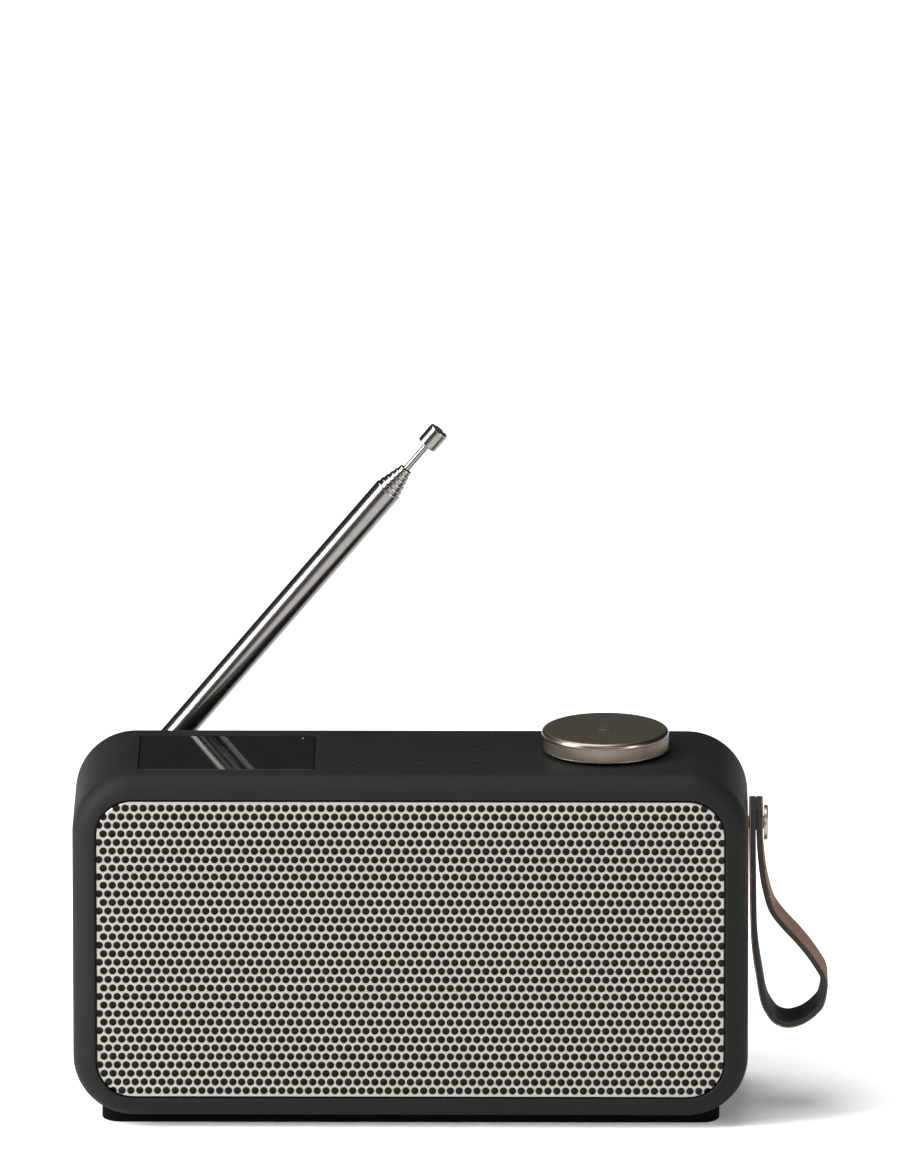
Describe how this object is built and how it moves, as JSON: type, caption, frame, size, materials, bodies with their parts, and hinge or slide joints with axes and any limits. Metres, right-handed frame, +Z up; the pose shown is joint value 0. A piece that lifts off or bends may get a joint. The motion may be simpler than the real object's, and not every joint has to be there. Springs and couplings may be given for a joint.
{
  "type": "tabletop radio",
  "caption": "Tabletop radio with rounded dark cabinet, perforated metal grille, flush keys, dial knob, glossy display, side strap loop and telescopic aerial.",
  "frame": {"origin": "middle of the resting face of the foot, under the middle of the cabinet", "axes": "+X to the right along the width, +Y to the back, +Z up; the grille faces -Y"},
  "size_m": [0.2406, 0.0784, 0.2135],
  "materials": {
    "soft_touch": "dark grey soft-touch moulding",
    "foot_rubber": "black rubber",
    "grille_metal": "satin perforated sheet",
    "acoustic_cloth": "dark open-weave cloth",
    "black_plastic": "black moulding",
    "cone_paper": "black pressed paper",
    "steel": "bright zinc plate",
    "ferrite": "dark grey sintered ferrite",
    "display_gloss": "gloss black window",
    "light_white": "clear white light pipe",
    "board_green": "green solder resist",
    "dome_sheet": "silicone dome sheet",
    "knob_bronze": "warm grey anodised",
    "strap_leather": "brown outside, black inside",
    "brass": "plain brass",
    "chrome": "polished chrome plate",
    "battery_wrap": "blue shrink wrap"
  },
  "bodies": {
    "cabinet": {"cabinet_shell": "soft_touch", "rear_cover": "soft_touch", "foot_pad": "foot_rubber", "speaker_surround_left": "foot_rubber", "speaker_surround_right": "foot_rubber", "grille": "grille_metal", "acoustic_cloth": "acoustic_cloth", "baffle": "black_plastic", "display_module": "black_plastic", "aux_jack": "black_plastic", "speaker_basket_left": "steel", "speaker_basket_right": "steel", "encoder_body": "steel", "encoder_nut": "steel", "strap_stud": "steel", "antenna_nut": "steel", "antenna_screw": "steel", "tuner_module": "steel", "usb_socket": "steel", "rear_screw_1": "steel", "rear_screw_2": "steel", "rear_screw_3": "steel", "rear_screw_4": "steel", "speaker_magnet_left": "ferrite", "speaker_magnet_right": "ferrite", "display_lens": "display_gloss", "status_light": "light_white", "top_board": "board_green", "main_board": "board_green", "key_dome_sheet": "dome_sheet", "strap_insert": "brass", "antenna_base": "chrome", "battery_pack": "battery_wrap"},
    "speaker_cone_left_body": {"speaker_cone_left": "cone_paper", "speaker_dust_cap_left": "cone_paper"},
    "speaker_cone_right_body": {"speaker_cone_right": "cone_paper", "speaker_dust_cap_right": "cone_paper"},
    "key_1_body": {"key_1": "soft_touch"},
    "key_2_body": {"key_2": "soft_touch"},
    "key_3_body": {"key_3": "soft_touch"},
    "key_4_body": {"key_4": "soft_touch"},
    "key_5_body": {"key_5": "soft_touch"},
    "key_6_body": {"key_6": "soft_touch"},
    "knob_plunger": {"encoder_plunger": "black_plastic"},
    "knob": {"volume_knob": "knob_bronze", "knob_hub": "black_plastic", "encoder_shaft": "steel"},
    "strap_loop": {"strap": "strap_leather"},
    "aerial_swivel": {"antenna_swivel": "chrome", "antenna_hinge_pin": "steel"},
    "aerial_arm": {"antenna_lug": "chrome", "antenna_tube_1": "chrome"},
    "aerial_section_2": {"antenna_tube_2": "chrome"},
    "aerial_section_3": {"antenna_tube_3": "chrome"},
    "aerial_section_4": {"antenna_tube_4": "chrome"},
    "aerial_section_5": {"antenna_tube_5": "chrome"},
    "aerial_section_6": {"antenna_tube_6": "chrome"},
    "aerial_rod": {"antenna_rod": "chrome", "antenna_tip": "chrome"}
  },
  "joints": [
    {"name": "strap_swing", "type": "hinge", "parent": "cabinet", "child": "strap_loop", "pos_m": [0.1075, 0, 0.0926], "axis": [1, 0, 0], "range_deg": [-75, 75]},
    {"name": "knob_press", "type": "slide", "parent": "cabinet", "child": "knob_plunger", "axis": [0, 0, -1], "range_m": [0, 0.0006], "stiffness_N_per_m": 6000},
    {"name": "knob_turn", "type": "hinge", "parent": "knob_plunger", "child": "knob", "pos_m": [0.06186, 0.0005, 0.1162], "axis": [0, 0, 1], "continuous": true},
    {"name": "key_1_press", "type": "slide", "parent": "cabinet", "child": "key_1_body", "axis": [0, 0, -1], "range_m": [0, 0.0006], "stiffness_N_per_m": 2500},
    {"name": "key_2_press", "type": "slide", "parent": "cabinet", "child": "key_2_body", "axis": [0, 0, -1], "range_m": [0, 0.0006], "stiffness_N_per_m": 2500},
    {"name": "key_3_press", "type": "slide", "parent": "cabinet", "child": "key_3_body", "axis": [0, 0, -1], "range_m": [0, 0.0006], "stiffness_N_per_m": 2500},
    {"name": "key_4_press", "type": "slide", "parent": "cabinet", "child": "key_4_body", "axis": [0, 0, -1], "range_m": [0, 0.0006], "stiffness_N_per_m": 2500},
    {"name": "key_5_press", "type": "slide", "parent": "cabinet", "child": "key_5_body", "axis": [0, 0, -1], "range_m": [0, 0.0006], "stiffness_N_per_m": 2500},
    {"name": "key_6_press", "type": "slide", "parent": "cabinet", "child": "key_6_body", "axis": [0, 0, -1], "range_m": [0, 0.0006], "stiffness_N_per_m": 2500},
    {"name": "speaker_left_excursion", "type": "slide", "parent": "cabinet", "child": "speaker_cone_left_body", "axis": [0, 1, 0], "range_m": [-0.0015, 0.0015], "stiffness_N_per_m": 1200},
    {"name": "speaker_right_excursion", "type": "slide", "parent": "cabinet", "child": "speaker_cone_right_body", "axis": [0, 1, 0], "range_m": [-0.0015, 0.0015], "stiffness_N_per_m": 1200},
    {"name": "antenna_swivel_turn", "type": "hinge", "parent": "cabinet", "child": "aerial_swivel", "pos_m": [-0.0862, 0.0398, 0.098], "axis": [0, 1, 0], "range_deg": [-130, 50]},
    {"name": "antenna_tilt", "type": "hinge", "parent": "aerial_swivel", "child": "aerial_arm", "pos_m": [-0.08106, 0.0398, 0.10413], "axis": [-0.766, 0, 0.6428], "range_deg": [0, 90]},
    {"name": "antenna_slide_2", "type": "slide", "parent": "aerial_arm", "child": "aerial_section_2", "axis": [0.6428, 0, 0.766], "range_m": [0, 0.095]},
    {"name": "antenna_slide_3", "type": "slide", "parent": "aerial_section_2", "child": "aerial_section_3", "axis": [0.6428, 0, 0.766], "range_m": [0, 0.095]},
    {"name": "antenna_slide_4", "type": "slide", "parent": "aerial_section_3", "child": "aerial_section_4", "axis": [0.6428, 0, 0.766], "range_m": [0, 0.095]},
    {"name": "antenna_slide_5", "type": "slide", "parent": "aerial_section_4", "child": "aerial_section_5", "axis": [0.6428, 0, 0.766], "range_m": [0, 0.095]},
    {"name": "antenna_slide_6", "type": "slide", "parent": "aerial_section_5", "child": "aerial_section_6", "axis": [0.6428, 0, 0.766], "range_m": [0, 0.095]},
    {"name": "antenna_slide_rod", "type": "slide", "parent": "aerial_section_6", "child": "aerial_rod", "axis": [0.6428, 0, 0.766], "range_m": [0, 0.095]}
  ]
}
